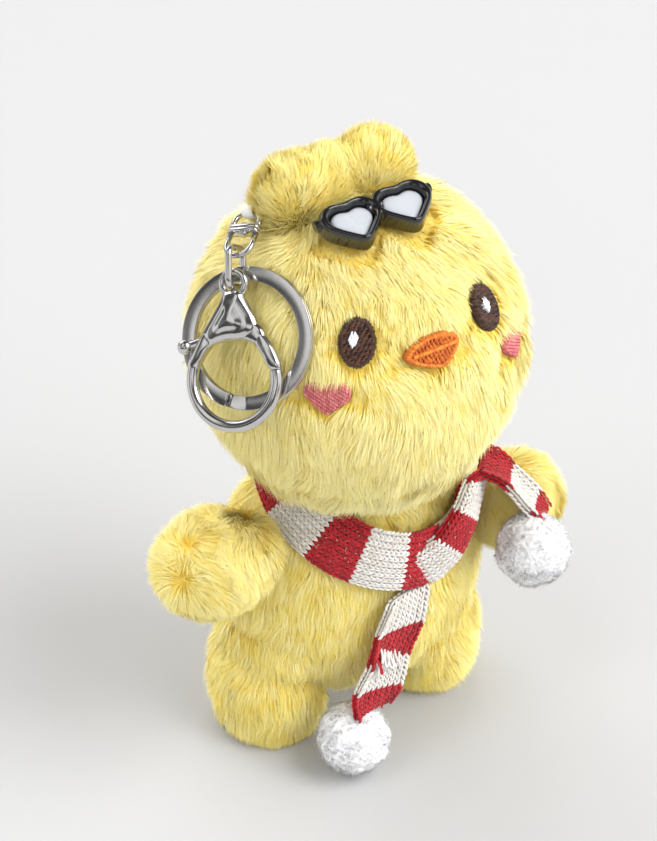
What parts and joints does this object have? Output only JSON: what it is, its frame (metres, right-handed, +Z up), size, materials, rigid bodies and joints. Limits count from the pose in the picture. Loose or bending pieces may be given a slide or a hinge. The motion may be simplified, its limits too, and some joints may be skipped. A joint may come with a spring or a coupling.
{
  "type": "plush keychain",
  "caption": "Soft furry chick charm with a knitted pompom scarf and heart sunglasses, on a swivel chain with a lobster clasp and a split ring",
  "frame": {"origin": "centre of the whole object's box in X and Y, on the surface that the feet stand on", "axes": "the chick faces -Y, +Z up, its right arm towards -X"},
  "size_m": [0.099, 0.0706, 0.1481],
  "materials": {
    "plush_cover": "short dense plush pile",
    "stuffing": "fibre filling",
    "eye_thread": "satin stitch embroidery",
    "glint_thread": "satin stitch embroidery",
    "beak_thread": "satin stitch embroidery",
    "cheek_knit": "fill stitch embroidery",
    "glasses_plastic": "moulded, glossy black",
    "lens_plastic": "moulded, pale",
    "scarf_knit": "stockinette knit with off-white stripes",
    "pompom_wool": "fluffy white",
    "metal": "polished nickel plate"
  },
  "bodies": {
    "plush": {"head_front_panel": "plush_cover", "head_back_panel": "plush_cover", "head_stuffing": "stuffing", "tuft_cover": "plush_cover", "tuft_stuffing": "stuffing", "eye_right": "eye_thread", "eye_left": "eye_thread", "eye_glint_right": "glint_thread", "eye_glint_left": "glint_thread", "beak_upper": "beak_thread", "beak_lower": "beak_thread", "cheek_right": "cheek_knit", "cheek_left": "cheek_knit", "sunglasses_frame": "glasses_plastic", "sunglasses_lens_right": "lens_plastic", "sunglasses_lens_left": "lens_plastic", "body_front_panel": "plush_cover", "body_back_panel": "plush_cover", "body_stuffing": "stuffing", "scarf_wrap": "scarf_knit", "hanging_loop": "plush_cover"},
    "arm_right": {"arm_right_cover": "plush_cover", "arm_right_stuffing": "stuffing"},
    "arm_left": {"arm_left_cover": "plush_cover", "arm_left_stuffing": "stuffing"},
    "front_end": {"scarf_front_end": "scarf_knit", "pompom_front": "pompom_wool"},
    "side_end": {"scarf_side_end": "scarf_knit", "pompom_side": "pompom_wool"},
    "swivel_top": {"swivel_upper": "metal"},
    "swivel_bottom": {"swivel_lower": "metal", "swivel_rivet": "metal"},
    "link": {"chain_link": "metal"},
    "clasp": {"clasp_body": "metal", "clasp_pin": "metal", "clasp_spring": "metal"},
    "gate": {"clasp_gate": "metal"},
    "ring": {"split_ring": "metal"}
  },
  "joints": [
    {"name": "arm_right_flap", "type": "hinge", "parent": "plush", "child": "arm_right", "pos_m": [-0.02731, -0.0003, 0.0583], "axis": [0, 1, 0], "range_deg": [-15, 15]},
    {"name": "arm_left_flap", "type": "hinge", "parent": "plush", "child": "arm_left", "pos_m": [0.03649, -0.0043, 0.053], "axis": [0, -1, 0], "range_deg": [-15, 8]},
    {"name": "front_end_lift", "type": "hinge", "parent": "plush", "child": "front_end", "pos_m": [0.00349, -0.0193, 0.0444], "axis": [-1, 0, 0], "range_deg": [0, 80]},
    {"name": "side_end_lift", "type": "hinge", "parent": "plush", "child": "side_end", "pos_m": [0.02849, -0.0123, 0.0684], "axis": [-0.6018, -0.7986, 0], "range_deg": [0, 60]},
    {"name": "chain_lift", "type": "hinge", "parent": "plush", "child": "swivel_top", "pos_m": [-0.02145, 0.00537, 0.1385], "axis": [-0.6263, 0.746, -0.2263], "range_deg": [0, 80]},
    {"name": "swivel_spin", "type": "hinge", "parent": "swivel_top", "child": "swivel_bottom", "pos_m": [-0.02572, 0.00097, 0.1358], "axis": [0.6372, 0.6571, 0.4028], "range_deg": [-30, 8]},
    {"name": "link_lift", "type": "hinge", "parent": "swivel_bottom", "child": "link", "pos_m": [-0.02869, -0.00192, 0.13448], "axis": [-0.6263, 0.746, -0.2263], "range_deg": [0, 45]},
    {"name": "clasp_swing", "type": "hinge", "parent": "link", "child": "clasp", "pos_m": [-0.03169, -0.00609, 0.12905], "axis": [-0.7334, -0.4654, 0.4955], "range_deg": [-35, 35]},
    {"name": "ring_swing", "type": "hinge", "parent": "link", "child": "ring", "pos_m": [-0.02957, -0.00474, 0.12761], "axis": [-0.7334, -0.4654, 0.4955], "range_deg": [-35, 35]},
    {"name": "gate_open", "type": "hinge", "parent": "clasp", "child": "gate", "pos_m": [-0.03348, -0.01075, 0.12202], "axis": [0.7334, 0.4654, -0.4955], "range_deg": [0, 25], "stiffness_Nm_per_rad": 0.02, "springref_deg": -17.19}
  ]
}
